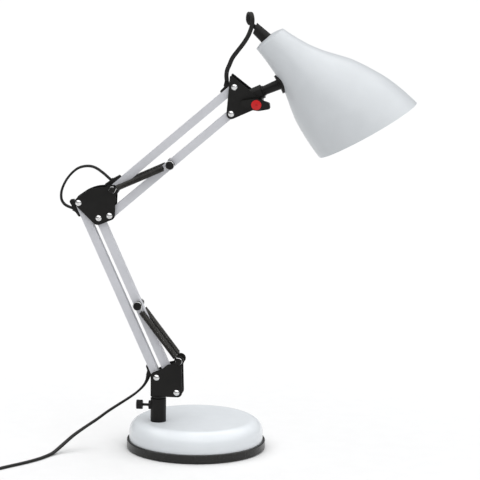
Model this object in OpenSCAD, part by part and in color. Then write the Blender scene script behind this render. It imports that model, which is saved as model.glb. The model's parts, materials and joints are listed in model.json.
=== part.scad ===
// Desk lamp with two spring-balanced parallelogram arms on a weighted round base.
// Origin at the centre of the base's underside, +Z up, the arms fold in the XZ plane
// and the head reaches towards +X. All lengths in millimetres, angles in degrees.

/* [Base] */
// Diameter of the black tray under the base
tray_d = 173; // [160:1:190]
// Height of the tray's rim above the table
tray_h = 11.5; // [10:0.5:14]
// Thickness of the tray's floor
tray_floor = 4; // [3.5:0.25:5]
// Width of the rim that stands proud of the cover
rim_lip = 3; // [2:0.5:4]
// Height of the cover's flat top above the table
base_h = 37.5; // [34:0.5:42]
// Radius of the cover's rounded shoulder
shoulder_r = 16; // [10:1:18]
// Sheet thickness of the cover
cover_wall = 1.6; // [1:0.1:2.4]
// Radius of the cast weight
weight_r = 74; // [66:1:76]
// Height of the cast weight
weight_h = 20; // [16:1:24]
// Thickness of the pad that the lamp stands on
pad_t = 2; // [1.5:0.25:2.5]
// How far the pad stands out under the tray
pad_proud = 0.8; // [0.4:0.1:1.2]
// How far the pad reaches past the weight
pad_margin = 1; // [0:0.5:4]

/* [Post] */
// Distance of the post behind the centre of the base
post_back = 45; // [38:0.5:52]
// How far the arms, swung on their post, stand to the near side of the base's centre
base_side = 21; // [0:1:30]
// Outer diameter of the post
post_d = 19.5; // [18:0.5:22]
// Height of the post above the cover
post_h = 29.5; // [26:0.5:34]
// Diameter of the turning stem in the post
stem_d = 12; // [10:0.5:13]
// Diameter of the thumb screw's knob
knob_d = 11.6; // [9:0.2:14]
// Width of the thumb screw's knob
knob_w = 7.6; // [5:0.2:10]
// Diameter of the thumb screw's thread
thumb_d = 3.4; // [3:0.2:5]

/* [Arms] */
// Pivot to pivot length of the lower arm
lower_len = 239.5; // [200:0.5:280]
// Pivot to pivot length of the upper arm
upper_len = 200; // [170:0.5:240]
// Angle of the lower arm behind the vertical at rest
lower_lean = 24.3; // [20:0.1:28]
// Angle of the upper arm above the horizontal at rest
upper_rise = 41.4; // [34:0.1:48]
// Width of the square tube that the bars are made of
bar_w = 10; // [9:0.25:11]
// Wall of the square tube
bar_wall = 1; // [0.8:0.1:1.4]
// Height of the lower arm's rear pivot above the cover
hinge_up = 57.2; // [55.8:0.2:62]
// Distance of the lower arm's rear pivot behind the post
hinge_back = 1.5; // [0.5:0.1:3]
// Front lower pivot ahead of the rear one
lower_pair_x = 25.2; // [24:0.1:27]
// Front lower pivot below the rear one
lower_pair_z = 18.4; // [17:0.1:20]
// Top pivot of the upper arm ahead of the bottom one
upper_pair_x = 3.8; // [2:0.1:6]
// Top pivot of the upper arm above the bottom one
upper_pair_z = 33.2; // [31:0.1:36]
// Bottom upper pivot ahead of the elbow's rear pivot
elbow_step_x = 38.7; // [37:0.1:41]
// Bottom upper pivot below the elbow's rear pivot
elbow_step_z = 15; // [13:0.1:16]

/* [Joints] */
// Clear gap between the two side plates of each joint
plate_gap = 16.2; // [15:0.2:19]
// Thickness of the side plates
plate_t = 1.2; // [1:0.1:2]
// Diameter of the rivets that the bars turn on
rivet_d = 6; // [4.5:0.25:6.5]
// Diameter of the rivet heads
rivet_head_d = 7.4; // [6.8:0.1:8]
// Height of the rivet heads
rivet_head_h = 1.6; // [1:0.1:2.2]
// Radial clearance of what turns on a pin
run_gap = 0.05; // [0.02:0.01:0.09]

/* [Springs] */
// Outer diameter of the spring coils
spring_d = 7.6; // [6:0.1:8.4]
// Wire diameter of the springs
wire_d = 1.3; // [1:0.1:1.6]
// Distance of each spring's hook from the middle plane
spring_y = 11.6; // [11.3:0.1:13]
// Diameter of the pins through the bars that the springs pull on
spring_pin_d = 5; // [4:0.25:6]
// Diameter of the black head of those pins
spring_head_d = 9.6; // [8:0.2:11]

/* [Head] */
// Tilt pivot ahead of the bottom head pivot
tilt_x = 31.7; // [30:0.1:34]
// Tilt pivot above the bottom head pivot
tilt_z = 13.2; // [11:0.1:15]
// Angle of the stub above the horizontal at rest
stub_rise = 24.5; // [20:0.5:30]
// Distance of the stub's axis from the tilt pivot
stub_off = 10.9; // [10:0.1:12.5]
// Diameter of the knuckle's barrel
barrel_d = 17.6; // [16.5:0.1:18.5]
// Diameter of the stub where it leaves the knuckle
stub_d = 11.2; // [10:0.2:12.5]
// Diameter of the stub at the shade
stub_end_d = 13.6; // [12.6:0.2:15]
// Length of the stub from the knuckle to the shade
stub_len = 24.6; // [22:0.2:28]
// Length of the clamp knob across its wings
wing_l = 38; // [32:1:42]
// Diameter of the red cap on the clamp knob
cap_d = 12.4; // [10:0.2:13]

/* [Shade] */
// Angle of the shade's axis below the horizontal at rest
shade_dip = 42; // [38:0.5:46]
// Distance along the axis from the neck to the middle of the mouth
shade_len = 164; // [150:1:175]
// Radius of the shade's mouth
mouth_r = 66; // [60:0.5:70]
// Radius of the shade's neck
neck_r = 20.2; // [19.5:0.1:22]
// Sheet thickness of the shade
shade_wall = 1.1; // [0.8:0.1:1.6]
// Slant of the mouth
mouth_slant = 17.8; // [12:0.2:20]
// Slant of the closed neck end
neck_slant = 9.3; // [6:0.1:12]
// Height of the neck end's dome
dome_h = 3.6; // [2:0.1:5]
// Distance along the shade's axis at which the stub meets it
stub_at = 47.8; // [42:0.1:52]

/* [Lamp] */
// Radius of the lampholder
holder_r = 15.5; // [14.5:0.1:16.5]
// Length of the lampholder
holder_l = 44; // [40:1:50]
// Radius of the tail where it leaves the shade
tail_r = 7.8; // [7:0.1:9]
// Radius of the tail's outer end
tail_end_r = 6.4; // [5:0.1:7]
// Length of the tail outside the shade
tail_l = 20; // [16:0.5:25]
// Diameter of the bulb's glass
bulb_d = 50; // [44:1:56]
// Length of the bulb's glass
bulb_l = 64; // [56:1:70]

/* [Cord] */
// Width of the flat two-core cord
cord_w = 5.4; // [5:0.1:6]
// Thickness of the flat two-core cord
cord_t = 3.2; // [3:0.1:3.6]
// Radius at the middle of the coil's turns
coil_r = 32; // [28:0.5:34]

/* [Hidden] */
$fn = 48;
black = [0.13, 0.13, 0.12];
white = [0.86, 0.88, 0.9];

// Rest positions of the pivots, as [x, z] in the plane of the arms
function toward(a) = [cos(a), sin(a)];
lower_dir = toward(90 + lower_lean);
upper_dir = toward(upper_rise);
lower_pair = [lower_pair_x, -lower_pair_z];
upper_pair = [upper_pair_x, upper_pair_z];
foot_rear = [-post_back - hinge_back, base_h + hinge_up];
foot_front = foot_rear + lower_pair;
elbow_rear = foot_rear + lower_len * lower_dir;
elbow_front = elbow_rear + lower_pair;
elbow_bottom = elbow_rear + [elbow_step_x, -elbow_step_z];
elbow_top = elbow_bottom + upper_pair;
head_bottom = elbow_bottom + upper_len * upper_dir;
head_top = head_bottom + upper_pair;
tilt = head_bottom + [tilt_x, tilt_z];

// Plates
plate_in = plate_gap / 2;
plate_out = plate_in + plate_t;
hole_gap = 0.05;
bar_end_r = bar_w / 2 - 0.02;
washer_r = 4.5;
ear_at = foot_rear + [28.3, 22.4];
ear_r = 6.2;

// The shade's outline as [share of the length, share of the way from neck to mouth radius]
shade_curve = [
    [-0.04, -0.02], [0.08, 0.04], [0.16, 0.1], [0.25, 0.18], [0.36, 0.33], [0.48, 0.545],
    [0.56, 0.675], [0.67, 0.8], [0.82, 0.93], [0.95, 0.985], [1.08, 1.0], [1.22, 0.99]
];
curve_steps = 4;
shade_outline = [
    for (q = smooth(shade_curve, curve_steps)) [neck_r + q[1] * (mouth_r - neck_r), q[0] * shade_len]
];

// Head: stub axis and shade axis at rest
stub_dir = toward(stub_rise);
stub_up = toward(stub_rise + 90);
barrel_l = 15;
barrel_start = tilt - 3 * stub_dir + stub_off * stub_up;
stub_root = barrel_start + (barrel_l - 0.5) * stub_dir;
knuckle_half = plate_in - 0.3;
pin_r = 4;
shade_dir = toward(-shade_dip);
shade_up = toward(90 - shade_dip);
// Mean radius of the shade where the stub meets it
stub_meet_r = profile_at(stub_at);
stub_foot = stub_root + stub_len * stub_dir;
shade_base = stub_foot - stub_at * shade_dir + stub_meet_r * shade_up;
saddle_t = 3;
dome_r = (neck_r * neck_r + dome_h * dome_h) / (2 * dome_h);
tail_off = 2.3;
tail_in = 4.5;
tail_slant = 21.6;

// Cord routes as [x, y, z], chosen by eye
elbow_route = [
    [-152.9, 0, 304.5], [-157.5, 0, 306], [-162.5, 0, 308.4], [-166.3, 0, 312.6], [-167.9, 0, 318.4],
    [-167, 0, 327.4], [-162.3, 0, 338.4], [-155.1, 0, 348.2], [-146.3, 0, 355.4], [-135.8, 0, 358.2],
    [-126.1, 0, 356.8], [-116.1, 0, 350.6], [-106.2, 0, 342.1]
];
head_route = [
    [37.1, 0, 468.5], [36.7, -0.6, 475], [38.3, -1.4, 482.8], [42.7, -2.4, 491.8], [48.3, -3.4, 502],
    [55.9, -4.6, 515], [61.9, -5.4, 525.2], [65.9, -5.8, 534.2], [68.7, -5.4, 542.4], [69.2, -4, 549.4],
    [66.5, -2, 555], [61.7, 0.4, 555], [59.3, 1.8, 550], [61.1, 1.6, 544.6], [66.3, 0.6, 540.2],
    [72.3, 0, 536.2]
];
drop_route = [
    [-58, 0, 94.4], [-59.7, 1.6, 88.8], [-64.3, 3.2, 80.9], [-72.2, 4.8, 72.6], [-80.8, 5.5, 65.7],
    [-93, 5.1, 57.3], [-108.2, 2.7, 47.1], [-121.9, -0.7, 36.9], [-136.7, -7.1, 27.2],
    [-148.7, -15.5, 19.2], [-157.5, -24.8, 12.3], [-164.6, -35.2, 6.7], [-170.2, -44.6, 3],
    [-175, -53, 1.7]
];
run_route = [
    [-175, -53, 1.7], [-181, -66.6, 1.7], [-189, -80, 1.7], [-198, -92.6, 1.7], [-208, -105, 1.7],
    [-218, -117, 1.7], [-227, -129.4, 1.7], [-234, -142, 1.7], [-238.6, -154, 1.7], [-240, -165, 1.7]
];
plug_route = [
    [-217.1, -288.8, 3.4], [-205, -294.2, 2.6], [-192, -295.5, 1.8], [-180, -292.5, 1.8],
    [-169, -286.6, 1.8], [-159, -280.4, 2.2], [-150.6, -275.2, 4], [-143.4, -271, 6.4]
];

// ---------- helpers ----------

function unit(v) = v / norm(v);

// Points of one rounded corner b between its neighbours a and c
function corner(a, b, c, r, steps = 6) =
    let (u = unit(a - b), w = unit(c - b), half = acos(u * w) / 2,
         o = b + unit(u + w) * r / sin(half),
         s = b + u * r / tan(half) - o, e = b + w * r / tan(half) - o,
         a0 = atan2(s[1], s[0]), turn = atan2(e[1], e[0]) - a0,
         sweep = turn > 180 ? turn - 360 : turn < -180 ? turn + 360 : turn)
    r == 0 ? [b] : [for (k = [0 : steps]) o + r * toward(a0 + sweep * k / steps)];

// An outline of [x, z, corner radius] corners about a point
function rounded(origin, corners) = [
    for (i = [0 : len(corners) - 1])
        let (n = len(corners), p = corners[(i + n - 1) % n], q = corners[i], s = corners[(i + 1) % n])
        each corner(origin + [p[0], p[1]], origin + [q[0], q[1]], origin + [s[0], s[1]], q[2])
];

// Smooth curve through points, as a chain of cubic spans
function span(a, b, c, d, t) =
    0.5 * (2 * b + (c - a) * t + (2 * a - 5 * b + 4 * c - d) * t * t + (3 * b - a - 3 * c + d) * t * t * t);
function smooth(p, steps) = [
    for (i = [0 : len(p) - 2], k = [0 : steps - 1])
        span(p[max(i - 1, 0)], p[i], p[i + 1], p[min(i + 2, len(p) - 1)], k / steps),
    p[len(p) - 1]
];
function profile_at(s, i = 0) =
    shade_outline[i + 1][1] >= s
        ? shade_outline[i][0] + (s - shade_outline[i][1]) / (shade_outline[i + 1][1] - shade_outline[i][1])
            * (shade_outline[i + 1][0] - shade_outline[i][0])
        : profile_at(s, i + 1);

// A shape drawn in the XZ plane, from y0 to y1
module slab(y0, y1) {
    translate([0, y1, 0]) rotate([90, 0, 0]) linear_extrude(y1 - y0) children();
}

// A round bar along Y through the point p of the XZ plane
module rod(p, r, y0, y1) {
    translate([p[0], y1, p[1]]) rotate([90, 0, 0]) cylinder(r = r, h = y1 - y0);
}

// Children drawn along +Z are laid along the direction of angle a in the XZ plane, from p
module along(p, a) {
    translate([p[0], 0, p[1]]) rotate([0, 90 - a, 0]) children();
}

module dome(r, h) {
    sphere_r = (r * r + h * h) / (2 * h);
    intersection() {
        translate([0, 0, h - sphere_r]) sphere(r = sphere_r);
        cylinder(r = r, h = h);
    }
}

module rivet(p, reach) {
    rod(p, rivet_d / 2, -reach, reach);
    translate([p[0], -reach, p[1]]) rotate([90, 0, 0]) difference() {
        dome(rivet_head_d / 2, rivet_head_h);
        translate([0, 0, rivet_head_h - 0.5]) cylinder(d = 1.8, h = 1);
    }
    translate([p[0], reach, p[1]]) rotate([-90, 0, 0]) dome(rivet_head_d / 2, rivet_head_h);
}

module washers(p) {
    for (side = [-1, 1])
        difference() {
            rod(p, washer_r, min(side * (bar_w / 2 + run_gap), side * plate_in),
                max(side * (bar_w / 2 + run_gap), side * plate_in));
            rod(p, rivet_d / 2 + hole_gap, -plate_out, plate_out);
        }
}

// A square tube between two pivots, bored for its pins; mid is the bore of a spring pin, or 0
module bar(p, q, mid) {
    d = q - p;
    a = atan2(d[1], d[0]);
    difference() {
        union() {
            along(p, a) translate([-bar_w / 2, -bar_w / 2, 0]) cube([bar_w, bar_w, norm(d)]);
            for (end = [p, q]) rod(end, bar_end_r, -bar_end_r, bar_end_r);
        }
        along(p, a) translate([-bar_w / 2 + bar_wall, -bar_w / 2 + bar_wall, -bar_w])
            cube([bar_w - 2 * bar_wall, bar_w - 2 * bar_wall, norm(d) + 2 * bar_w]);
        rod(p, rivet_d / 2 + run_gap, -bar_w, bar_w);
        rod(q, rivet_d / 2 + run_gap, -bar_w, bar_w);
        if (mid > 0) rod((p + q) / 2, mid / 2 + hole_gap, -bar_w, bar_w);
    }
}

// Cord guide on a bar's outer face near its end, with a tapered nose that the cord leaves through.
// a is the bar's angle towards that end, side the outer face, lean the nose's tilt to that end.
guide_w = 7.6;
guide_along = -4.5;
guide_out = 10.6;
nose_l = 5.6;
nose_r = [3.7, 3];
strip_outline = [[-18.5, bar_w / 2, 0], [-3, bar_w / 2, 0], [-3.4, 7.6, 1], [-6, 8.6, 1], [-18, 7.4, 0.8]];
wedge_outline = [
    [-17, bar_w / 2, 0], [5.4, bar_w / 2, 0], [6.6, 9.6, 1], [4.8, 10.8, 1], [-6.5, 9.9, 1], [-16.6, 7.8, 0.8]
];
module guide(p, a, side, outline, lean) {
    translate([p[0], 0, p[1]]) rotate([0, -a, 0]) mirror([0, 0, side > 0 ? 0 : 1]) difference() {
        union() {
            slab(-guide_w / 2, guide_w / 2) polygon(rounded([0, 0], outline));
            translate([guide_along, 0, guide_out]) rotate([0, lean, 0]) translate([0, 0, -nose_l])
                cylinder(r1 = nose_r[0], r2 = nose_r[1], h = nose_l);
        }
        translate([-3 * bar_w, -bar_w, -bar_w / 2]) cube([5 * bar_w, 2 * bar_w, bar_w]);
    }
}
function guide_mouth(p, a, side) = p + guide_along * toward(a) + guide_out * side * toward(a + 90);

// How far the coiled part of each spring stays from its two pins
mid_hook = 9.5;
end_hook = 10.5;
// Loops of wire at the springs' ends: their mean radius about the grooves they pull in
eye_gap = 0.1;
groove_w = wire_d + 0.4;
groove_mid = spring_y + groove_w / 2;
mid_groove_r = spring_pin_d / 2 + 2;
end_groove_r = rivet_d / 2;
function eye_r(groove_r) = groove_r + wire_d / 2 + eye_gap;

// A spring's solid: a ribbed sleeve between two hooks, from a pin at p to a pin at q
module spring(p, q, y) {
    d = q - p;
    body_l = norm(d) - mid_hook - end_hook;
    turns = floor(body_l / (2 * wire_d));
    pitch = body_l / turns;
    along(p, atan2(d[1], d[0])) translate([0, y, 0]) {
        translate([0, 0, mid_hook]) rotate_extrude() difference() {
            translate([spring_d / 2 - 1.2 * wire_d, 0]) square([1.2 * wire_d, body_l]);
            for (i = [0 : turns])
                translate([spring_d / 2 + 0.1, i * pitch]) circle(r = wire_d * 0.45, $fn = 16);
        }
        spring_eye(eye_r(mid_groove_r), mid_hook);
        translate([0, 0, norm(d)]) mirror([0, 0, 1]) spring_eye(eye_r(end_groove_r), end_hook);
    }
}
// The loop of wire at a spring's end, its neck and the end turn
module spring_eye(loop_r, reach) {
    rotate([90, 0, 0]) rotate_extrude() translate([loop_r, 0]) circle(d = wire_d, $fn = 16);
    translate([0, 0, loop_r]) cylinder(d = wire_d, h = reach - loop_r + 0.6);
    translate([0, 0, reach]) cylinder(r = spring_d / 2 - wire_d / 2, h = wire_d);
}
// One end of a grooved pin, from y = start outwards: a collar, the groove and a head
module pin_end(p, side, start, groove_r, head_r) {
    translate([p[0], side * start, p[1]]) rotate([-90 * side, 0, 0]) {
        cylinder(r = groove_r, h = groove_mid - start + 0.1);
        cylinder(r = groove_r + 0.8, h = groove_mid - groove_w - start);
        translate([0, 0, groove_mid - start]) {
            cylinder(r = head_r, h = 0.9);
            translate([0, 0, 0.9]) dome(head_r, 1.3);
        }
    }
}

// A tube swept along a route: rings of a flattened octagon whose wide side stays level
function tangent(p, i) = unit(p[min(i + 1, len(p) - 1)] - p[max(i - 1, 0)]);
function side_of(t, wide) = unit(cross(cross(t, wide), t));
function ring(c, t, wide, w, h) =
    let (u = side_of(t, wide), v = cross(t, u))
    [for (a = [22.5 : 45 : 337.5]) c + (u * w * cos(a) + v * h * sin(a)) / 2 / cos(22.5)];
module tube(route, wides, w, h) {
    n = len(route);
    points = [for (i = [0 : n - 1]) each ring(route[i], tangent(route, i), wides[i], w, h)];
    skin = [
        for (i = [0 : n - 2], k = [0 : 7], half = [0, 1])
            let (a = i * 8 + k, b = i * 8 + (k + 1) % 8)
            half == 0 ? [b + 8, b, a] : [a + 8, b + 8, a]
    ];
    last = (n - 1) * 8;
    ends = [for (k = [1 : 6]) each [[k, k + 1, 0], [last + k + 1, last + k, last]]];
    polyhedron(points = points, faces = concat(skin, ends));
}
// The cord's wide side lies across its heading, level with the table
function level(route) = [
    for (i = [0 : len(route) - 1]) let (t = tangent(route, i)) [-t[1], t[0], 0]
];
function same(route, v) = [for (p = route) v];

// A route moved so that its ends lie at a and b
function pinned(route, a, b) = [
    for (i = [0 : len(route) - 1]) let (n = len(route) - 1, t = i / n)
        route[i] + (1 - t) * (a - route[0]) + t * (b - route[n])
];
function in_plane(p) = [p[0], 0, p[1]];

// ---------- base ----------
tray_r = tray_d / 2;
pad_r = weight_r + pad_margin;
cover_r = tray_r - rim_lip;
tray_z = pad_proud;
floor_z = tray_z + tray_floor;
seat_z = 7;
seat_w = 2.5;
post_at = [-post_back, 0, 0];
post_r = post_d / 2;
post_top = base_h + post_h;
stem_r = stem_d / 2;
spigot_r = 6;
nut_af = 19;
nut_h = 6;
nut_pocket_r = 13;
nut_top = 14;
screw_ring = 46;
screw_turn = 30;
screw_head_h = 1.4;
screw_r = 2;
thumb_z = base_h + 20.3;
thumb_boss_r = 5.6;

module on_base() translate([0, base_side, 0]) children();

module foot_pad() color("dimgray") on_base() cylinder(r = pad_r, h = pad_t, $fn = 96);

module at_screws() on_base()
    for (k = [0 : 2]) rotate(screw_turn + 120 * k) translate([screw_ring, 0, 0]) children();

module base_tray() color(black) difference() {
    on_base() rotate_extrude($fn = 96) polygon([
        [0, tray_z], [tray_r - 1, tray_z], [tray_r, tray_z + 1], [tray_r, tray_h - 0.8],
        [tray_r - 0.8, tray_h], [cover_r + 0.2, tray_h], [cover_r + 0.2, seat_z],
        [cover_r - seat_w, seat_z], [cover_r - seat_w, floor_z], [0, floor_z]
    ]);
    on_base() translate([0, 0, -1]) cylinder(r = pad_r + 0.1, h = pad_t + 1, $fn = 96);
    at_screws() {
        cylinder(r = screw_r + 0.1, h = floor_z + 1);
        cylinder(r = 4, h = pad_t + screw_head_h + 0.05);
    }
}

module tray_screws() color("silver") at_screws() translate([0, 0, pad_t + 0.05]) {
    difference() {
        cylinder(r = 3.9, h = screw_head_h);
        for (turn = [0, 90]) rotate(turn) cube([4.4, 0.9, 1.4], center = true);
    }
    cylinder(r = screw_r, h = 12);
}

module base_weight() color("dimgray") difference() {
    union() {
        on_base() translate([0, 0, floor_z]) cylinder(r = weight_r, h = weight_h, $fn = 96);
        translate([-post_back, 0, floor_z]) cylinder(r = 16, h = base_h - cover_wall - floor_z);
    }
    translate([-post_back, 0, 0]) cylinder(r = spigot_r + 0.1, h = base_h);
    translate([-post_back, 0, floor_z - 1]) cylinder(r = nut_pocket_r, h = nut_top - floor_z + 1);
    at_screws() translate([0, 0, floor_z - 1]) cylinder(r = screw_r + 0.05, h = 14);
}

module cover_profile(r, top, shoulder) {
    difference() {
        square([r, top]);
        translate([r - shoulder, top - shoulder]) difference() {
            square(shoulder + 1);
            circle(r = shoulder, $fn = 96);
        }
    }
}

module base_cover() color(white) difference() {
    on_base() rotate_extrude($fn = 120) difference() {
        cover_profile(cover_r, base_h, shoulder_r);
        translate([-1, -1]) square([cover_r + 2, seat_z + 1]);
    }
    on_base() rotate_extrude($fn = 120)
        cover_profile(cover_r - cover_wall, base_h - cover_wall, shoulder_r - cover_wall);
    translate([-post_back, 0, base_h - cover_wall - 1]) cylinder(r = spigot_r + 0.1, h = cover_wall + 2);
}

module post() color(black) difference() {
    translate(post_at) union() {
        translate([0, 0, base_h]) cylinder(r = post_r, h = post_h);
        translate([0, 0, nut_top - nut_h - 2]) cylinder(r = spigot_r, h = base_h - nut_top + nut_h + 3);
        translate([0, 0, thumb_z]) rotate([0, -90, 0]) cylinder(r = thumb_boss_r, h = post_r + 2.2);
    }
    translate([-post_back, 0, base_h + 2.5]) cylinder(r = stem_r, h = post_h);
    translate([-post_back, 0, thumb_z]) rotate([0, -90, 0])
        translate([0, 0, stem_r - 1]) cylinder(r = thumb_d / 2 + run_gap, h = post_r);
}

module post_nut() color("silver") translate([-post_back, 0, nut_top - nut_h]) difference() {
    cylinder(d = nut_af / cos(30), h = nut_h, $fn = 6);
    translate([0, 0, -1]) cylinder(r = spigot_r + 0.03, h = nut_h + 2);
}

thumb_tip = post_back + stem_r + 0.3;
thumb_face = post_back + post_r + 10;
module thumb_screw() color(black) translate([0, 0, thumb_z]) rotate([0, -90, 0]) {
    translate([0, 0, thumb_tip]) cylinder(r = thumb_d / 2, h = thumb_face - thumb_tip + 1);
    translate([0, 0, thumb_face]) difference() {
        cylinder(r = knob_d / 2, h = knob_w);
        for (k = [0 : 17]) rotate(20 * k) translate([knob_d / 2 + 0.3, 0, -1])
            cylinder(r = 0.7, h = knob_w + 2, $fn = 16);
    }
}

// ---------- lower bracket ----------
bracket_bottom = -24;
cheek = [
    [-7.2, bracket_bottom, 1.2], [-7.2, 5.4, 5.2], [3, 10, 5], [7.2, 11.6, 4], [13.6, 17, 5],
    [24, 19.6, 3], [31.4, 18, 2], [32.6, bracket_bottom, 6]
];

module cheek_shape() {
    polygon(rounded(foot_rear, cheek));
    translate(ear_at) circle(r = ear_r);
}

module lower_bracket() color(black) difference() {
    union() {
        slab(-plate_out, -plate_in) cheek_shape();
        slab(plate_in, plate_out) cheek_shape();
        // the web that joins the cheeks over the stem
        slab(-plate_in - 0.2, plate_in + 0.2) translate([foot_rear[0] - 7.2, foot_rear[1] + bracket_bottom])
            square([20, plate_t * 1.5]);
        for (side = [-1, 1]) pin_end(ear_at, side, plate_out - 0.2, end_groove_r, end_groove_r + 0.9);
    }
    for (p = [foot_rear, foot_front]) rod(p, rivet_d / 2 + hole_gap, -plate_out - 1, plate_out + 1);
    translate([-post_back, 0, foot_rear[1] + bracket_bottom - 1]) cylinder(r = 5 + hole_gap, h = 6);
}

collar_z = post_top + 0.3;
web_z = foot_rear[1] + bracket_bottom;
module bracket_stem() color(black) difference() {
    translate(post_at) union() {
        translate([0, 0, base_h + 3]) cylinder(r = stem_r - run_gap, h = collar_z - base_h - 2.9);
        translate([0, 0, collar_z]) cylinder(r1 = post_r - 1, r2 = post_r + 1.2, h = web_z - collar_z);
        translate([0, 0, web_z - 0.5]) cylinder(r = 5, h = plate_t * 1.5 + 0.5);
        translate([0, 0, web_z + plate_t * 1.5]) cylinder(r = 7.4, h = 4.5);
    }
    translate([-post_back - 20, -15, collar_z - 0.01]) cube([12.2, 30, web_z - collar_z + 0.01]);
}

module lower_rivets() color("silver") {
    rivet(foot_rear, plate_out);
    rivet(foot_front, plate_out);
}

module lower_washers() color("gainsboro") {
    washers(foot_rear);
    washers(foot_front);
}

// ---------- lower arm ----------
lower_mid = (foot_front + elbow_front) / 2;
upper_mid = (elbow_bottom + head_bottom) / 2;

module lower_bar_rear() color(white) bar(foot_rear, elbow_rear, 0);
module lower_bar_front() color(white) bar(foot_front, elbow_front, spring_pin_d);
module guide_foot() color(black) guide(foot_rear, lower_lean - 90, -1, strip_outline, 45);
module guide_elbow_rear() color(black) guide(elbow_rear, lower_lean + 90, 1, wedge_outline, 45);

// A pin through a bar that two springs pull on, with a large near head and a plain far one
module spring_pin(p, head_r) {
    rod(p, spring_pin_d / 2, -bar_w, bar_w);
    pin_end(p, -1, bar_w / 2 + 0.02, mid_groove_r, head_r);
    pin_end(p, 1, bar_w / 2 + 0.02, mid_groove_r, mid_groove_r + 0.3);
}

module lower_spring_pin() color(black) spring_pin(lower_mid, spring_head_d / 2);
module lower_spring_near() color("dimgray") spring(lower_mid, ear_at, -spring_y);
module lower_spring_far() color("dimgray") spring(lower_mid, ear_at, spring_y);

// ---------- elbow ----------
elbow_outline = [
    [-8.3, 1.7, 6.3], [16, 19.4, 44], [34.4, 21, 4], [37, 24.2, 3], [49.2, 24.2, 5.5],
    [49.2, 14, 4], [46.4, 10.5, 3], [45.4, -18.3, 6], [22.6, -28.3, 8]
];
elbow_pins = [elbow_rear, elbow_front, elbow_bottom];

module elbow_plate(y0) difference() {
    slab(y0, y0 + plate_t) polygon(rounded(elbow_rear, elbow_outline));
    for (p = concat(elbow_pins, [elbow_top])) rod(p, rivet_d / 2 + hole_gap, y0 - 1, y0 + plate_t + 1);
}
module elbow_plate_near() color(black) elbow_plate(-plate_out);
module elbow_plate_far() color(black) elbow_plate(plate_in);
module elbow_rivets() color("silver") for (p = elbow_pins) rivet(p, plate_out);
module elbow_washers() color("gainsboro") for (p = concat(elbow_pins, [elbow_top])) washers(p);

module elbow_spring_pin() color(black) {
    rod(elbow_top, rivet_d / 2, -plate_out - 0.5, plate_out + 0.5);
    for (side = [-1, 1]) pin_end(elbow_top, side, plate_out, end_groove_r, end_groove_r + 0.9);
}

// ---------- upper arm ----------
module upper_bar_top() color(white) bar(elbow_top, head_top, 0);
module upper_bar_bottom() color(white) bar(elbow_bottom, head_bottom, spring_pin_d);
module guide_elbow_top() color(black) guide(elbow_top, upper_rise + 180, -1, wedge_outline, 10);
module guide_head() color(black) guide(head_top, upper_rise, 1, strip_outline, 45);
module upper_spring_pin() color(black) spring_pin(upper_mid, spring_head_d / 2);
module upper_spring_near() color("dimgray") spring(upper_mid, elbow_top, -spring_y);
module upper_spring_far() color("dimgray") spring(upper_mid, elbow_top, spring_y);

// ---------- head bracket ----------
head_outline = [[-1.8, 48.6, 1.5], [43.9, 13.6, 6.2], [-6.6, -10.3, 6]];
bolt_r = 2.5;

module head_plate(y0) difference() {
    slab(y0, y0 + plate_t) polygon(rounded(head_bottom, head_outline));
    for (p = [head_bottom, head_top]) rod(p, rivet_d / 2 + hole_gap, y0 - 1, y0 + plate_t + 1);
    rod(tilt, bolt_r + hole_gap, y0 - 1, y0 + plate_t + 1);
}
module head_plate_near() color(black) head_plate(-plate_out);
module head_plate_far() color(black) head_plate(plate_in);
module head_rivets() color("silver") {
    rivet(head_bottom, plate_out);
    rivet(head_top, plate_out);
}
module head_washers() color("gainsboro") {
    washers(head_bottom);
    washers(head_top);
}

knob_y = plate_out + 0.3;
knob_t = 6.4;
module clamp_bolt() color("silver") {
    rod(tilt, bolt_r, -knob_y - 4.6, plate_out);
    translate([tilt[0], plate_out, tilt[1]]) rotate([-90, 0, 0]) cylinder(d = 8 / cos(30), h = 3.2, $fn = 6);
}

wing_tip = wing_l / 2;
knob_outline = [
    [0, 7.6, 7], [wing_tip - 3, 2.4, 2], [wing_tip - 2, -4.6, 2], [3, -7.4, 6], [-6, -6.4, 6],
    [-wing_tip, -2.2, 2], [-wing_tip, 4.6, 1.6], [-7, 6.6, 8]
];
module clamp_knob() color(black) difference() {
    slab(-knob_y - knob_t, -knob_y) polygon(rounded(tilt, knob_outline));
    rod(tilt, bolt_r + run_gap, -knob_y - 5, 0);
    rod(tilt, cap_d / 2 - 1.2 + 0.05, -knob_y - knob_t - 1, -knob_y - knob_t + 1.2);
}
module knob_cap() color([0.8, 0.14, 0.14]) {
    rod(tilt, cap_d / 2 - 1.2, -knob_y - knob_t, -knob_y - knob_t + 1.2);
    translate([tilt[0], -knob_y - knob_t, tilt[1]]) rotate([90, 0, 0]) difference() {
        union() {
            cylinder(d = cap_d, h = 0.8);
            translate([0, 0, 0.8]) dome(cap_d / 2, 0.8);
        }
        translate([0, 0, 0.8]) cylinder(d = 3.2, h = 2);
    }
}

// ---------- knuckle and stub ----------
module tilt_block() color(black) difference() {
    intersection() {
        union() {
            rod(tilt, 6.8, -knuckle_half, knuckle_half);
            along(barrel_start - 0.5 * stub_dir, stub_rise) {
                cylinder(r = barrel_d / 2, h = barrel_l);
            }
            slab(-knuckle_half, knuckle_half) polygon([
                tilt - 6 * stub_dir, tilt + 6.6 * stub_dir,
                stub_root - 2.2 * stub_dir - 5 * stub_up, barrel_start + stub_dir - 5 * stub_up
            ]);
        }
        translate([tilt[0] - 60, -knuckle_half, tilt[1] - 60]) cube([120, 2 * knuckle_half, 120]);
    }
    rod(tilt, bolt_r + run_gap, -20, 20);
    along(barrel_start + 2 * stub_dir, stub_rise) cylinder(r = pin_r + run_gap, h = 30);
}

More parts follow.
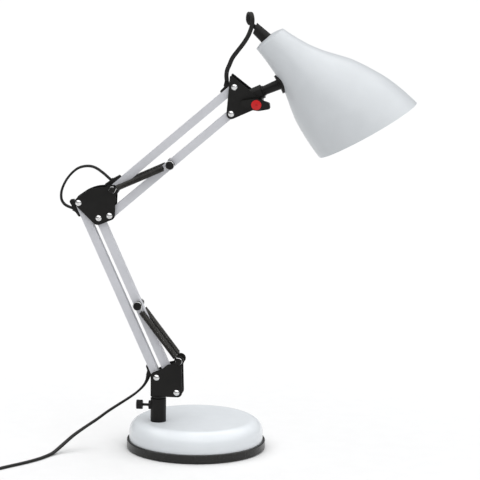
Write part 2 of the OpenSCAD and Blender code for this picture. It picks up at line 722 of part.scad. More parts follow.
module shade_stub() color(black) difference() {
    union() {
        along(barrel_start + 2.4 * stub_dir, stub_rise) cylinder(r = pin_r, h = barrel_l);
        along(stub_root + 0.3 * stub_dir, stub_rise) {
            cylinder(r = stub_d / 2 + 0.8, h = 2);
            cylinder(r1 = stub_d / 2, r2 = stub_end_d / 2, h = stub_len + 4);
        }
    }
    shade_solid(saddle_t);
}

// ---------- shade ----------
// Children drawn along +Z lie along the shade's axis, with -X towards its upper side
module on_shade() along(shade_base, -shade_dip) children();

// The revolved outline, grown by g
module shade_turned(g) {
    rotate_extrude($fn = 120) polygon(concat(
        [[0, shade_outline[0][1]]],
        [for (q = shade_outline) [q[0] + g, q[1]]],
        [[0, shade_outline[len(shade_outline) - 1][1]]]
    ));
}

module shade_solid(g) on_shade() shade_turned(g);

// What lies outside the domed neck end, grown by g
module neck_cut(g) rotate([0, neck_slant, 0]) difference() {
    translate([-2 * neck_r, -2 * neck_r, -1.5 * neck_r]) cube([4 * neck_r, 4 * neck_r, 1.5 * neck_r + 3]);
    translate([0, 0, dome_r - dome_h]) sphere(r = dome_r + g, $fn = 96);
}

module mouth_cut() translate([0, 0, shade_len]) rotate([0, mouth_slant, 0])
    translate([-shade_len, -shade_len, 0]) cube([2 * shade_len, 2 * shade_len, shade_len]);

module shade() color(white) on_shade() difference() {
    shade_turned(0);
    difference() {
        shade_turned(-shade_wall);
        neck_cut(-shade_wall);
    }
    neck_cut(0);
    mouth_cut();
    translate([tail_off, 0, -20]) cylinder(r = tail_r + 0.1, h = 40);
}

module saddle_outline() {
    for (side = [-1, 1]) translate([0, side * 6.5]) circle(r = 11.5);
    translate([-11.5, -6.5]) square([23, 13]);
}
module shade_saddle() color(black) difference() {
    along(stub_root + (stub_len - 9) * stub_dir, stub_rise) difference() {
        linear_extrude(30) saddle_outline();
        translate([0, 0, -1]) for (side = [-1, 1]) translate([0, side * 14.4, 0])
            linear_extrude(40) union() {
                translate([-2.4, -1.2]) square([4.8, 2.4]);
                for (end = [-2.4, 2.4]) translate([end, 0]) circle(r = 1.2);
            }
    }
    shade_solid(0.02);
    difference() {
        on_shade() translate([0, 0, -neck_r]) cylinder(r = shade_len, h = 2 * shade_len);
        shade_solid(saddle_t);
    }
}

// ---------- lampholder, tail and bulb, on an axis beside the shade's ----------
module on_holder() on_shade() translate([tail_off, 0, 0]) children();
holder_z = 5;
module lampholder() color(black) on_holder() difference() {
    union() {
        translate([0, 0, holder_z]) cylinder(r = holder_r, h = holder_l);
        translate([0, 0, holder_z + holder_l - 3]) cylinder(r = holder_r + 1, h = 3);
    }
    translate([0, 0, holder_z + 12]) cylinder(r = 14.2, h = holder_l);
    translate([0, 0, holder_z - 1]) cylinder(r = 4.6, h = 20);
}
module holder_shell() color("goldenrod") on_holder() difference() {
    translate([0, 0, holder_z + 12]) cylinder(r = 14.15, h = 24);
    translate([0, 0, holder_z + 12.6]) cylinder(r = 13.4, h = 30);
    translate([0, 0, holder_z + 11]) cylinder(r = 4, h = 3);
}
module holder_ring() color(black) on_holder() difference() {
    translate([0, 0, 1.2]) cylinder(r = 11, h = holder_z - 1.2);
    translate([0, 0, -3]) cylinder(r = 5, h = 12);
    translate([-tail_off, 0, 0]) neck_cut(-shade_wall - 0.05);
}

module holder_tail() color(black) on_holder() difference() {
    union() {
        translate([0, 0, -tail_in - tail_l]) cylinder(r1 = tail_end_r, r2 = tail_r, h = tail_l + tail_in);
        translate([0, 0, 0]) cylinder(r = 4.5, h = holder_z + 8);
        translate([0, 0, -0.01]) cylinder(r = 5, h = 0.5);
    }
    translate([0, 0, -tail_in - tail_l + 2.8]) rotate([0, -tail_slant, 0])
        translate([-20, -20, -20]) cube([40, 40, 20]);
    translate([0, 0, -tail_in - tail_l]) cylinder(r = 3.3, h = 60);
}

bulb_seat = holder_z + 14;
contact_h = 3.5;
cap_h = 22;
cap_r = 13;
bulb_wall = 1;
module bulb_cap() color("silver") on_holder() translate([0, 0, bulb_seat]) difference() {
    union() {
        cylinder(r1 = 4.8, r2 = cap_r - 1, h = contact_h);
        translate([0, 0, contact_h]) cylinder(r = cap_r, h = cap_h);
    }
    translate([0, 0, contact_h + bulb_wall]) cylinder(r = cap_r - bulb_wall, h = cap_h);
}

// The glass's outline from its neck to its crown, drawn in by g
function bulb_outline(g) = let (r = bulb_d / 2) concat(
    [[cap_r - g, 0], [cap_r - g, 5]],
    smooth([[14.2 - g, 8], [19 - g, 18], [r - 1.4 - g, 29]], 3),
    [for (a = [0 : 11.25 : 90]) (r - g) * toward(a) + [0, bulb_l - r]]
);
module bulb_glass() color([0.95, 0.95, 0.93]) on_holder()
    translate([0, 0, bulb_seat + contact_h + cap_h]) rotate_extrude($fn = 72) difference() {
        polygon(concat([[0, 0]], bulb_outline(0)));
        translate([0, -0.01]) polygon(concat([[0, 0]], bulb_outline(bulb_wall)));
    }

// ---------- cords ----------
turn_gap = 0.2;
turn_pitch = cord_w + turn_gap;
layer_pitch = cord_t + turn_gap;
turns_across = 4;
layers = 2;
coil_w = turn_pitch * turns_across;
coil_h = layer_pitch * layers;
switch_at = [-240, -191, 0];
switch_l = 52;
switch_w = 20;
switch_h = 13;
rocker_w = 9;
rocker_l = 15;
coil_centre = [switch_at[0] + coil_r + (coil_w - turn_pitch) / 2, -249, 0];
plug_turn = 30;
plug_w = 26;
plug_t = 13.7;
plug_l = 36;
plug_at = [-143.4, -271, 6.4];

// Room between a lead's end and the guide of another body that it enters
mouth_gap = 0.8;

module flat_cord(points, wides) color(black) tube(points, wides, cord_w, cord_t);
module hanging(route, a, b) {
    points = smooth(pinned(route, a, b), 2);
    flat_cord(points, same(points, [0, 1, 0]));
}
module lying(points) flat_cord(points, level(points));

module elbow_lead() hanging(elbow_route,
    in_plane(guide_mouth(elbow_rear, lower_lean + 90, 1)),
    in_plane(guide_mouth(elbow_top, upper_rise + 180, -1) + mouth_gap * toward(140)));
tail_mouth = shade_base + (tail_off * -shade_up) - (tail_l + tail_in - 5.4) * shade_dir;
module head_lead() hanging(head_route,
    in_plane(guide_mouth(head_top, upper_rise, 1)), in_plane(tail_mouth));
drop_end = drop_route[len(drop_route) - 1];
module cord_drop() lying(smooth(pinned(drop_route,
    in_plane(guide_mouth(foot_rear, lower_lean - 90, -1) + mouth_gap * toward(-110)), drop_end), 2));
module cord_run() lying(smooth(run_route, 2));
module cord_lead() lying([
    for (y = [-switch_l / 2, -switch_l / 2 - 12, -switch_l / 2 - 24])
        switch_at + [0, y, coil_h / layers / 2]
]);
module plug_lead() lying(smooth(plug_route, 2));

module switch_body() color(black) difference() {
    translate(switch_at) {
        hull() for (y = [-1, 1]) translate([0, y * (switch_l - switch_w - 1) / 2, 0]) {
            cylinder(d = switch_w - 2, h = switch_h, $fn = 32);
            translate([0, 0, 1.5]) cylinder(d = switch_w, h = switch_h - 4, $fn = 32);
        }
        for (y = [-1, 1]) translate([-4, y * (switch_l / 2 - 3) - 3, 0]) cube([8, 6, 6]);
    }
    translate(switch_at + [-rocker_w / 2 - 0.3, -rocker_l / 2 - 0.6, switch_h - 5])
        cube([rocker_w + 0.6, rocker_l + 1.2, 10]);
}
module switch_rocker() color([0.16, 0.16, 0.16]) translate(switch_at + [0, 0, switch_h - 1.6]) {
    rotate([0, 90, 0]) translate([0, 0, -rocker_w / 2]) cylinder(r = 2.4, h = rocker_w);
    slab_x(-rocker_w / 2, rocker_w / 2) polygon([
        [-rocker_l / 2 + 0.6, 0], [rocker_l / 2 - 0.6, 0], [rocker_l / 2, 3.4], [0, 1.8], [-rocker_l / 2, 2.6]
    ]);
}
// A shape drawn in the YZ plane, from x0 to x1
module slab_x(x0, x1) {
    translate([x0, 0, 0]) rotate([90, 0, 90]) linear_extrude(x1 - x0) children();
}

module cord_coil() color(black) translate(coil_centre) rotate_extrude($fn = 96)
    translate([coil_r - coil_w / 2, 0]) square([coil_w, coil_h]);
module cord_tie() color([0.2, 0.2, 0.2]) translate(coil_centre + [coil_r, 0, coil_h / 2]) difference() {
    cube([coil_w + 3, 7, coil_h + 2], center = true);
    cube([coil_w + 0.8, 9, coil_h + 0.4], center = true);
    translate([0, 0, -coil_h]) cube([coil_w * 2, 9, coil_h], center = true);
}

module at_plug() translate(plug_at) rotate(plug_turn) children();
module plug_body() color(black) at_plug() {
    hull() {
        translate([14, -8, 1 - plug_at[2]]) cube([1, 16, plug_t - 3]);
        translate([30, -plug_w / 2 + 3, -plug_at[2]]) cube([20, plug_w - 6, plug_t]);
        translate([33, -plug_w / 2, 3 - plug_at[2]]) cube([14, plug_w, plug_t - 6]);
    }
    rotate([0, 90, 0]) cylinder(r1 = 3.1, r2 = 4.6, h = 16);
}
module plug_pins() color("silver") at_plug() for (side = [-1, 1])
    translate([50, side * 9.3, plug_t / 2 - plug_at[2]]) rotate([0, 90, 0]) {
        cylinder(r = 2, h = 17);
        translate([0, 0, 17]) cylinder(r1 = 2, r2 = 0.9, h = 2);
    }

foot_pad();
base_tray();
tray_screws();
base_weight();
base_cover();
post();
post_nut();
thumb_screw();
lower_bracket();
bracket_stem();
lower_rivets();
lower_washers();
lower_bar_rear();
lower_bar_front();
guide_foot();
guide_elbow_rear();
lower_spring_pin();
lower_spring_near();
lower_spring_far();
elbow_plate_near();
elbow_plate_far();
elbow_rivets();
elbow_spring_pin();
elbow_washers();
upper_bar_top();
upper_bar_bottom();
guide_elbow_top();
guide_head();
upper_spring_pin();
upper_spring_near();
upper_spring_far();
head_plate_near();
head_plate_far();
head_rivets();
head_washers();
clamp_bolt();
clamp_knob();
knob_cap();
tilt_block();
shade_stub();
shade_saddle();
shade();
lampholder();
holder_shell();
holder_ring();
holder_tail();
bulb_cap();
bulb_glass();
elbow_lead();
head_lead();
cord_drop();
cord_run();
switch_body();
switch_rocker();
cord_lead();
cord_coil();
cord_tie();
plug_lead();
plug_body();
plug_pins();
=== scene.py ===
"""Looks of the spring-balanced desk lamp: cords, springs, materials, light and camera."""
import json
import math

import bpy
from mathutils import Matrix, Vector


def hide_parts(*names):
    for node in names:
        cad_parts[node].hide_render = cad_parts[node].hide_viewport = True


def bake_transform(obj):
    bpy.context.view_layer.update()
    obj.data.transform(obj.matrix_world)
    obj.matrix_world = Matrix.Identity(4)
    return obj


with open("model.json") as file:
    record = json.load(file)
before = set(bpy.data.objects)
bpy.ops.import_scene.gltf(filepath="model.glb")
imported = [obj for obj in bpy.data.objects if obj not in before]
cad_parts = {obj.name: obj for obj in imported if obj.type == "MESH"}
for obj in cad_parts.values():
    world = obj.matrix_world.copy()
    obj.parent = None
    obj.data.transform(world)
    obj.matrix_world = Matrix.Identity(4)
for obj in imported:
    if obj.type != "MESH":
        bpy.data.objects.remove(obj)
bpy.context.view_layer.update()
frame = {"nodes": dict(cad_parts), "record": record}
nodes = frame["nodes"]
MM = 0.001


# ---------- pivots and pins, in millimetres and degrees, with y = 0 in the plane of the arms ----------

LOWER_SPAN, LOWER_LEAN = 239.5, 24.3    # the lower arm between its pivots, and how far it leans back
UPPER_SPAN, UPPER_RISE = 200.0, 41.4    # the upper arm between its pivots, and how far it rises


def toward(angle):
    """Unit vector in the plane of the arms."""
    a = math.radians(angle)
    return Vector((math.cos(a), 0, math.sin(a)))


LOWER_BARS = Vector((25.2, 0, -18.4))   # from the lower arm's rear bar to its front bar
FOOT_REAR = Vector((-46.5, 0, 94.7))
FOOT_FRONT = FOOT_REAR + LOWER_BARS
EAR = FOOT_REAR + Vector((28.3, 0, 22.4))
ELBOW_REAR = FOOT_REAR + LOWER_SPAN * toward(90 + LOWER_LEAN)
ELBOW_FRONT = ELBOW_REAR + LOWER_BARS
ELBOW_BOTTOM = ELBOW_REAR + Vector((38.7, 0, -15))
ELBOW_TOP = ELBOW_BOTTOM + Vector((3.8, 0, 33.2))
HEAD_BOTTOM = ELBOW_BOTTOM + UPPER_SPAN * toward(UPPER_RISE)
LOWER_MID = (FOOT_FRONT + ELBOW_FRONT) / 2
UPPER_MID = (ELBOW_BOTTOM + HEAD_BOTTOM) / 2


# ---------- mesh helpers ----------

SMOOTH_STEPS = 4


def smooth(points):
    """Points of a curve through the given ones, with SMOOTH_STEPS between each two."""
    p = [Vector(q) for q in points]
    out = []
    for i in range(len(p) - 1):
        a, b, c, d = p[max(i - 1, 0)], p[i], p[i + 1], p[min(i + 2, len(p) - 1)]
        for k in range(SMOOTH_STEPS):
            t = k / SMOOTH_STEPS
            out.append(0.5 * (2 * b + (c - a) * t + (2 * a - 5 * b + 4 * c - d) * t * t
                              + (3 * b - a - 3 * c + d) * t ** 3))
    return out + [p[-1]]


def length_of(points):
    return sum((b - a).length for a, b in zip(points, points[1:]))


def placed(name, data):
    """A new object in the scene."""
    thing = bpy.data.objects.new(name, data)
    bpy.context.scene.collection.objects.link(thing)
    return thing


def sweep(name, path, wide, section, slot):
    """A smooth-shaded tube along a path in millimetres, closed at both ends.

    The direction of the section's wide side is a vector, or a function of the path's heading."""
    n = len(section)
    vertices, faces = [], []
    for i, centre in enumerate(path):
        t = (path[min(i + 1, len(path) - 1)] - path[max(i - 1, 0)]).normalized()
        w = wide(t) if callable(wide) else Vector(wide)
        w = (w - t * w.dot(t)).normalized()
        u = t.cross(w)
        vertices += [centre + w * a + u * b for a, b in section]
    for i in range(len(path) - 1):
        for k in range(n):
            a, b = i * n + k, i * n + (k + 1) % n
            faces.append((a, b, b + n, a + n))
    faces.append(tuple(range(n))[::-1])
    faces.append(tuple(range(len(vertices) - n, len(vertices))))
    mesh = bpy.data.meshes.new(name)
    mesh.from_pydata([v * MM for v in vertices], [], faces)
    mesh.update()
    for face in mesh.polygons:
        face.use_smooth = True
    piece = placed(name, mesh)
    mesh.materials.append(MATERIALS[slot])
    return piece


# ---------- materials ----------

COLOUR_CLOUD = 40.0             # noise scale of the unevenness of a colour
GLOSS_CLOUD = 120.0             # and of a gloss
COAT_ROUGHNESS = 0.12
RELIEF = 0.0002                 # depth of the bump, in metres
NOISE_RANGE = (0.3, 0.7)        # where most of a noise lies
TINT_STOPS = (0.35, 0.65)       # where the colour ramp starts and ends

PLAIN = (1, 1, 1)
COOL = (0.96, 1.0, 1.035)
LAVENDER = (0.975, 0.985, 1.04)
WARM = (1.03, 1.0, 0.94)


def grey(value, tint=PLAIN):
    return tuple(value * c for c in tint)


def fill(node, sockets):
    """Sets a node's sockets and gives the node back."""
    for key, value in sockets.items():
        node.inputs[key].default_value = value
    return node


def noise(tree, scale, detail):
    """Noise in the object's own metres, so that a scale of 1000 is about a millimetre."""
    place = tree.nodes.new("ShaderNodeTexCoord")
    texture = fill(tree.nodes.new("ShaderNodeTexNoise"), {"Scale": scale, "Detail": detail})
    tree.links.new(place.outputs["Object"], texture.inputs["Vector"])
    return texture.outputs["Fac"]


def ranged(tree, source, low, high):
    """A noise spread over the range from low to high."""
    node = fill(tree.nodes.new("ShaderNodeMapRange"), {
        "From Min": NOISE_RANGE[0], "From Max": NOISE_RANGE[1], "To Min": low, "To Max": high})
    tree.links.new(source, node.inputs["Value"])
    return node.outputs["Result"]


def tinted(tree, source, dark, light):
    """A noise as a colour between the dark and the light one."""
    ramp = tree.nodes.new("ShaderNodeValToRGB")
    for stop, position, colour in zip(ramp.color_ramp.elements, TINT_STOPS, (dark, light)):
        stop.position = position
        stop.color = (*colour, 1)
    tree.links.new(source, ramp.inputs["Fac"])
    return ramp.outputs["Color"]


def finish_of(name, dark, light, rough, bump, grain, metallic=0.0, coat=0.0, specular=0.5):
    """One finish: a slightly uneven colour and gloss, and a fine bump of the given grain."""
    material = bpy.data.materials.new(name)
    material.use_nodes = True
    tree = material.node_tree
    surface = fill(tree.nodes["Principled BSDF"], {
        "Metallic": metallic, "Specular IOR Level": specular,
        "Coat Weight": coat, "Coat Roughness": COAT_ROUGHNESS})
    colour = tinted(tree, noise(tree, COLOUR_CLOUD, detail=4), dark, light)
    tree.links.new(colour, surface.inputs["Base Color"])
    gloss = ranged(tree, noise(tree, GLOSS_CLOUD, detail=3), *rough)
    tree.links.new(gloss, surface.inputs["Roughness"])
    relief = fill(tree.nodes.new("ShaderNodeBump"), {"Strength": bump, "Distance": RELIEF})
    tree.links.new(noise(tree, grain, detail=2), relief.inputs["Height"])
    tree.links.new(relief.outputs["Normal"], surface.inputs["Normal"])
    return material


FINISHES = {
    "cover_white": dict(dark=grey(0.73, COOL), light=grey(0.75, COOL), rough=(0.16, 0.22),
                        bump=0.0, grain=300, specular=0.35),
    "arm_white": dict(dark=grey(0.54, LAVENDER), light=grey(0.57, LAVENDER), rough=(0.3, 0.42),
                      bump=0.06, grain=900),
    "shade_white": dict(dark=grey(0.56, COOL), light=grey(0.58, COOL), rough=(0.3, 0.4),
                        bump=0.03, grain=500, specular=0.35),
    "tray_black": dict(dark=grey(0.012, WARM), light=grey(0.016, WARM), rough=(0.2, 0.3),
                       bump=0.05, grain=900, specular=0.3),
    "frame_black": dict(dark=grey(0.007, WARM), light=grey(0.01, WARM), rough=(0.34, 0.48),
                        bump=0.12, grain=2200, specular=0.16),
    "plastic_black": dict(dark=grey(0.007, WARM), light=grey(0.01, WARM), rough=(0.36, 0.5),
                          bump=0.14, grain=2600, specular=0.16),
    "spring_steel": dict(dark=grey(0.04, WARM), light=grey(0.065, WARM), rough=(0.18, 0.28),
                         bump=0.02, grain=1500, metallic=1.0),
    # Also on the spring hooks, where its brightness is a painted highlight on the coil's dark wire
    "rivet_steel": dict(dark=grey(0.6), light=grey(0.72), rough=(0.16, 0.3),
                        bump=0.06, grain=2500, metallic=1.0),
    "washer_nylon": dict(dark=grey(0.5), light=grey(0.56), rough=(0.4, 0.5), bump=0.05, grain=1500),
    "cap_red": dict(dark=(0.5, 0.008, 0.01), light=(0.56, 0.012, 0.014), rough=(0.3, 0.4),
                    bump=0.04, grain=1500, specular=0.3),
    "weight_iron": dict(dark=grey(0.1), light=grey(0.2), rough=(0.6, 0.8),
                        bump=0.6, grain=700, metallic=0.4),
    "pad_rubber": dict(dark=grey(0.02), light=grey(0.035), rough=(0.8, 0.95), bump=0.5, grain=1600),
    "cord_black": dict(dark=grey(0.008, WARM), light=grey(0.012, WARM), rough=(0.38, 0.5),
                       bump=0.08, grain=1800, specular=0.22),
    "shell_brass": dict(dark=(0.62, 0.46, 0.2), light=(0.74, 0.58, 0.3), rough=(0.2, 0.34),
                        bump=0.05, grain=1500, metallic=1.0),
    "bulb_glass": dict(dark=grey(0.82), light=grey(0.86), rough=(0.24, 0.32),
                       bump=0.03, grain=800, coat=0.2),
}
FLOOR_FINISH = dict(dark=grey(0.74), light=grey(0.75), rough=(0.8, 0.9), bump=0.0, grain=50, specular=0.1)
MATERIALS = {slot: finish_of(slot, **finish) for slot, finish in FINISHES.items()}


def dress_cad():
    """Each carried-over CAD node takes the finish of its slot."""
    for sub in frame["record"]["subparts"]:
        for slot in nodes[sub["node"]].material_slots:
            slot.material = MATERIALS[sub["material_slot"]]


# ---------- cords, in millimetres ----------

CORD_W, CORD_T = 5.4, 3.2       # the flat twin cord's width and thickness
CORD_Z = 1.7                    # its middle, where it lies on the table
CORD_SIDES = 24
CORD_ROUNDING = (0.85, 0.7)     # below 1, its outline is fuller than an ellipse
GROOVE_DEPTH = 0.26             # at the middle, as a share of the thickness
GROOVE_REACH = 0.7              # sideways from the middle
STEEP = 0.02                    # a heading with less than this level share is upright

CORD_GAP = 0.2                  # between neighbouring turns of the coil
TURN_PITCH = CORD_W + CORD_GAP
LAYER_PITCH = CORD_T + CORD_GAP
COIL_R = 32.0                   # at the middle of its turns
COIL_TURNS = 3                  # in each of its two layers
COIL_HALF = COIL_TURNS / 2 * TURN_PITCH
COIL_STEPS = 48                 # in one turn
CLIMB_STEPS = 8                 # in which the cord climbs to the second layer
LEAVE_STEPS = 10                # in which it comes down beside the coil
LEAVE_ANGLE = 7.4               # in degrees, for each of those
SWITCH = Vector((-240, -191, 0))
COIL_CENTRE = Vector((SWITCH.x + COIL_R + COIL_HALF, -249, 0))
PAST_SWITCH = (24, 12, 0, -12, -24, -30, -38, -46, -54)    # y from the switch's middle, up to the coil

# Routes as x, y, z in millimetres
ELBOW_ROUTE = [
    (-152.9, 0, 304.5), (-157.5, 0, 306), (-162.5, 0, 308.4), (-166.3, 0, 312.6), (-167.9, 0, 318.4),
    (-167, 0, 327.4), (-162.3, 0, 338.4), (-155.1, 0, 348.2), (-146.3, 0, 355.4), (-135.8, 0, 358.2),
    (-126.1, 0, 356.8), (-116.1, 0, 350.6), (-106.2, 0, 342.1),
]
HEAD_ROUTE = [
    (37.1, 0, 468.5), (36.5, -0.4, 476.4), (37.4, -1, 483.1), (40.1, -1.8, 489.7), (44.1, -2.8, 498.9),
    (50.7, -3.6, 508.1), (57.5, -4.4, 517.3), (63.1, -5.2, 526.6), (66.7, -5.8, 535.7),
    (68.2, -6.2, 542.3), (68.3, -5.6, 548.4), (66.8, -3, 553.1), (64.6, 0.6, 554.4), (62.6, 4, 552.2),
    (61.7, 5.8, 547.7), (62.2, 5.6, 543.3), (64.7, 3.6, 540.5), (67.1, 1.2, 540), (72.3, 0, 536.2),
]
DROP_ROUTE = [
    (-58, 0, 94.4), (-59.7, 1.6, 88.8), (-64.3, 3.2, 80.9), (-72.2, 4.8, 72.6), (-80.8, 5.5, 65.7),
    (-93, 5.1, 57.3), (-108.2, 2.7, 47.1), (-121.9, -0.7, 36.9), (-136.7, -7.1, 27.2),
    (-148.7, -15.5, 19.2), (-157.5, -24.8, 12.3), (-164.6, -35.2, 6.7), (-170.2, -44.6, 3),
    (-175, -53, 1.7),
]
RUN_ROUTE = [
    (-175, -53, 1.7), (-181, -66.6, 1.7), (-189, -80, 1.7), (-198, -92.6, 1.7), (-208, -105, 1.7),
    (-218, -117, 1.7), (-227, -129.4, 1.7), (-234, -142, 1.7), (-238.6, -154, 1.7), (-240, -165, 1.7),
]
PLUG_ROUTE = [
    (-192, -295.5, 1.8), (-180, -292.5, 1.8), (-169, -286.6, 1.8), (-159, -280.4, 2.2),
    (-150.6, -275.2, 4), (-143.4, -271, 6.4),
]

# Points of the smoothed drop: the neck's blend ends, the neck ends, and the cord lies still with the base
NECK_HELD, NECK_END, DROP_HELD = 10, 12, 36

# The short leads: node, route, points of the smoothed route where it is cut, the stretches' names,
# the bodies at their ends, and the direction of the cord's wide side
LEADS = (
    ("elbow_lead", ELBOW_ROUTE, (24,), ("lower", "upper"),
     ("lower_rear", "elbow", "upper_top"), (0, 1, 0)),
    ("head_lead", HEAD_ROUTE, (14, 30), ("lower", "middle", "upper"),
     ("upper_top", "head_bracket", "knuckle", "head"), (1, 0, 0)),
)


def twin_section():
    """Outline of a flat cord: two round cores side by side with a shallow groove between them."""
    out = []
    for k in range(CORD_SIDES):
        c, s = math.cos(2 * math.pi * k / CORD_SIDES), math.sin(2 * math.pi * k / CORD_SIDES)
        a = CORD_W / 2 * math.copysign(abs(c) ** CORD_ROUNDING[0], c)
        b = CORD_T / 2 * math.copysign(abs(s) ** CORD_ROUNDING[1], s)
        out.append((a, b * (1 - GROOVE_DEPTH * math.exp(-(a / GROOVE_REACH) ** 2))))
    return out


def level(t):
    """The cord's wide side lies across its heading, level with the table."""
    return Vector((-t.y, t.x, 0)) if math.hypot(t.x, t.y) > STEEP else Vector((0, 1, 0))


def coil_path():
    """The coil's line: in on the table, out again one layer higher, then down beside the coil."""
    inner, outer = COIL_R - COIL_HALF, COIL_R + COIL_HALF
    count = COIL_TURNS * COIL_STEPS

    def at(angle, radius, layer):
        return COIL_CENTRE + Vector((radius * math.cos(angle), radius * math.sin(angle),
                                     CORD_Z + LAYER_PITCH * layer))

    out = []
    for i in range(2 * count + 1):
        share = i / count if i <= count else 2 - i / count
        climb = min(max((i - count + CLIMB_STEPS / 2) / CLIMB_STEPS, 0), 1)
        out.append(at(math.pi + 2 * math.pi * i / COIL_STEPS, outer + (inner - outer) * share, climb))
    for i in range(1, LEAVE_STEPS + 1):
        out.append(at(math.pi + math.radians(LEAVE_ANGLE * i),
                      outer + TURN_PITCH * min(i / (LEAVE_STEPS - 1), 1), 1 - i / LEAVE_STEPS))
    return out


def cord_pieces():
    """The mains cord: a neck piece at the top of the drop, and the rest down to the plug."""
    section = twin_section()
    drop = smooth(DROP_ROUTE)
    neck = sweep("cord_neck", drop[:NECK_END + 1], level, section, "cord_black")
    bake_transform(neck)
    through = [SWITCH + Vector((0, y, CORD_Z)) for y in PAST_SWITCH]
    path = drop[NECK_END:] + smooth(RUN_ROUTE)[1:] + through + coil_path() + smooth(PLUG_ROUTE)[1:]
    cord = sweep("power_cord", path, level, section, "cord_black")
    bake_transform(cord)
    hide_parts("cord_drop")
    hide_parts("cord_drop", "cord_run", "cord_lead", "cord_coil", "plug_lead")
    print("cord length in mm:", round(length_of(path) + length_of(drop[:NECK_END + 1]), 1))


def lead_pieces():
    """The leads at the elbow and the head, each swept in stretches, one for each pair of bodies along it."""
    section = twin_section()
    for node, route, cuts, parts, bodies, wide in LEADS:
        points = smooth(route)
        ends = (0, *cuts, len(points) - 1)
        for part, first, last, body_a, body_b in zip(parts, ends, ends[1:], bodies, bodies[1:]):
            piece = sweep(f"{node}_{part}", points[first:last + 1], wide, section, "cord_black")
            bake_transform(piece)
            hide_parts(node)


# ---------- springs, in millimetres ----------

WIRE_D = 1.3
WIRE_SIDES = 8
SPRING_D = 7.6                  # outside its turns
SPRING_Y = 11.6                 # from the plane of the arms, to both sides
SPRING_PITCH = 1.34             # a little more than the wire, so the coil is close-wound
WIND_STEPS = 16                 # in one turn
SPRING_PARTS = 6                # stretches of each coil
COIL_GAP = 0.6                  # from a hook's reach to the coil
MID_HOOK, END_HOOK = 8.0, 5.4   # reach of the hook on the bar's pin and of the one on the anchor's pin
MID_EYE_R, END_EYE_R = 5.25, 3.75
HOOK_ANGLES = range(330, 29, -15)       # degrees round the pin, from the spring's axis
HOOK_BEND, HOOK_TAIL = 1.4, 2.6         # past the eye, where the wire bends to the axis and where it ends
HOOK_LIFT = 0.12                # from the axis at that bend, as a share of the eye's radius

ALONG_PINS = Vector((0, 1, 0))

# Arm, pin on its bar, pin on the anchor, the bar's pivot, the bar's body, and the anchor's body
ARMS = (
    ("lower", LOWER_MID, EAR, FOOT_FRONT, "lower_front", "lower_bracket"),
    ("upper", UPPER_MID, ELBOW_TOP, ELBOW_BOTTOM, "upper_bottom", "elbow"),
)


def wire_section():
    angles = [2 * math.pi * k / WIRE_SIDES for k in range(WIRE_SIDES)]
    return [(WIRE_D / 2 * math.cos(a), WIRE_D / 2 * math.sin(a)) for a in angles]


def hook(pin, forward, beside, eye):
    """The wire's open eye round a pin, and its tail on the spring's axis."""
    turns = [math.radians(a) for a in HOOK_ANGLES]
    loop = [pin + forward * eye * math.cos(a) + beside * eye * math.sin(a) for a in turns]
    return loop + [pin + forward * (eye + HOOK_BEND) + beside * eye * HOOK_LIFT,
                   pin + forward * (eye + HOOK_TAIL)]


def winding(start, ahead, beside, first, last):
    """The close coil between two distances from the start. At both ends it narrows for half a turn."""
    radius = (SPRING_D - WIRE_D) / 2
    half = WIND_STEPS / 2
    count = int((last - first) / SPRING_PITCH * WIND_STEPS)
    coil = []
    for i in range(count + 1):
        grow = min(i / half, (count - i) / half, 1)
        angle = 2 * math.pi * i / WIND_STEPS
        coil.append(start + ahead * (first + (last - first) * i / count)
                    + (beside * math.cos(angle) + ALONG_PINS * math.sin(angle)) * radius * grow)
    return coil


def stretches_of(mid, anchor, y):
    """A spring's pieces: name, path, wide side, slot, and the ends' shares of the way from anchor to pin."""
    to_side = Vector((0, y, 0))
    start, end = mid + to_side, anchor + to_side
    ahead = (end - start).normalized()
    beside = ahead.cross(ALONG_PINS)
    total = (end - start).length
    u_from, u_to = 1 - (MID_HOOK + COIL_GAP) / total, (END_HOOK + COIL_GAP) / total
    # The hooks are the same wire as the coil; their bright rivet steel is a painted highlight
    yield "hook_on_bar", hook(start, ahead, beside, MID_EYE_R), ALONG_PINS, "rivet_steel", 1.0, u_from
    yield "hook_on_anchor", hook(end, -ahead, beside, END_EYE_R), ALONG_PINS, "rivet_steel", u_to, 0.0
    coil = winding(start, ahead, beside, MID_HOOK + COIL_GAP, total - END_HOOK - COIL_GAP)
    last = len(coil) - 1
    for k in range(SPRING_PARTS):
        i, j = round(last * k / SPRING_PARTS), round(last * (k + 1) / SPRING_PARTS)
        yield (f"coil_{k + 1}", coil[i:j + 1], ahead, "spring_steel",
               u_from + (u_to - u_from) * i / last, u_from + (u_to - u_from) * j / last)


def springs():
    """Two springs on each arm between the bar and the anchor, each swept in stretches of hook and coil."""
    section = wire_section()
    for arm, mid, anchor, pivot, bar_body, held in ARMS:
        for side, y in (("near", -SPRING_Y), ("far", SPRING_Y)):
            node = f"{arm}_spring_{side}"
            for part, path, wide, slot, u_bar, u_held in stretches_of(mid, anchor, y):
                piece = sweep(f"{node}_{part}", path, wide, section, slot)
                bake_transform(piece)
                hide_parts(node)


# ---------- camera, light and floor, in metres ----------

# The camera is matched to the photo through the lamp's pivots and outline
CAMERA_AT = Vector((611.6, -4962.7, 1305.8)) * MM
YAW, PITCH, ROLL = math.radians(6.396), math.radians(11.704), math.radians(0.6)
FOCAL_PIXELS, FRAME_PIXELS, SENSOR = 4133.0, 480.0, 36.0
CLIP_END = 200

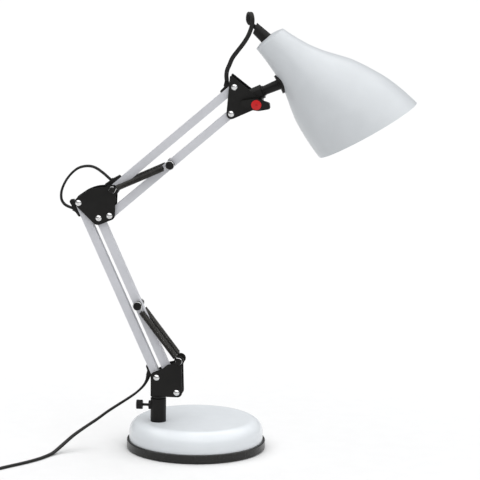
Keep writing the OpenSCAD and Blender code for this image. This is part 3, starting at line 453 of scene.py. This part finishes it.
WORLD_COLOUR, WORLD_STRENGTH = (0.97, 0.98, 1, 1), 0.22
SKY_FROM, SKY_SPREAD, SKY_POWER = Vector((0.1, -0.12, 1)), math.radians(110), 3.7
STRIP_AT, STRIP_AIM = Vector((0.9, -1.5, 1.1)), Vector((0, 0, 0.3))
STRIP_SIZE, STRIP_WATTS = (0.14, 1.2), 1.6
FLOOR_SIZE = 60


def camera():
    data = bpy.data.cameras.new("camera")
    data.sensor_width = SENSOR
    data.lens = FOCAL_PIXELS / FRAME_PIXELS * SENSOR
    data.clip_end = CLIP_END
    ahead = Vector((-math.sin(YAW) * math.cos(PITCH), math.cos(YAW) * math.cos(PITCH), -math.sin(PITCH)))
    right = Vector((math.cos(YAW), math.sin(YAW), 0))
    up = right.cross(ahead)
    rolled = right * math.cos(ROLL) + up * math.sin(ROLL)
    risen = up * math.cos(ROLL) - right * math.sin(ROLL)
    eye = placed("camera", data)
    eye.matrix_world = Matrix.Translation(CAMERA_AT) @ Matrix((rolled, risen, -ahead)).transposed().to_4x4()
    bpy.context.scene.camera = eye


def studio():
    """A pale floor under a wide soft sun and a dim world, with a narrow strip light at the front right."""
    scene = bpy.context.scene
    scene.view_settings.view_transform = "Standard"
    scene.world = bpy.data.worlds.new("studio")
    scene.world.use_nodes = True
    fill(scene.world.node_tree.nodes["Background"], {"Color": WORLD_COLOUR, "Strength": WORLD_STRENGTH})

    data = bpy.data.lights.new("sky", "SUN")
    data.energy = SKY_POWER
    data.angle = SKY_SPREAD
    placed("sky", data).rotation_euler = SKY_FROM.to_track_quat("Z", "Y").to_euler()

    data = bpy.data.lights.new("strip", "AREA")
    data.shape = "RECTANGLE"
    data.size, data.size_y = STRIP_SIZE
    data.energy = STRIP_WATTS
    strip = placed("strip", data)
    strip.location = STRIP_AT
    strip.rotation_euler = (STRIP_AIM - STRIP_AT).to_track_quat("-Z", "Y").to_euler()

    bpy.ops.mesh.primitive_plane_add(size=FLOOR_SIZE, location=(0, 0, 0))
    floor = bpy.context.object
    floor.name = "floor"
    floor.data.materials.append(finish_of("floor", **FLOOR_FINISH))


dress_cad()
cord_pieces()
lead_pieces()
springs()
camera()
studio()
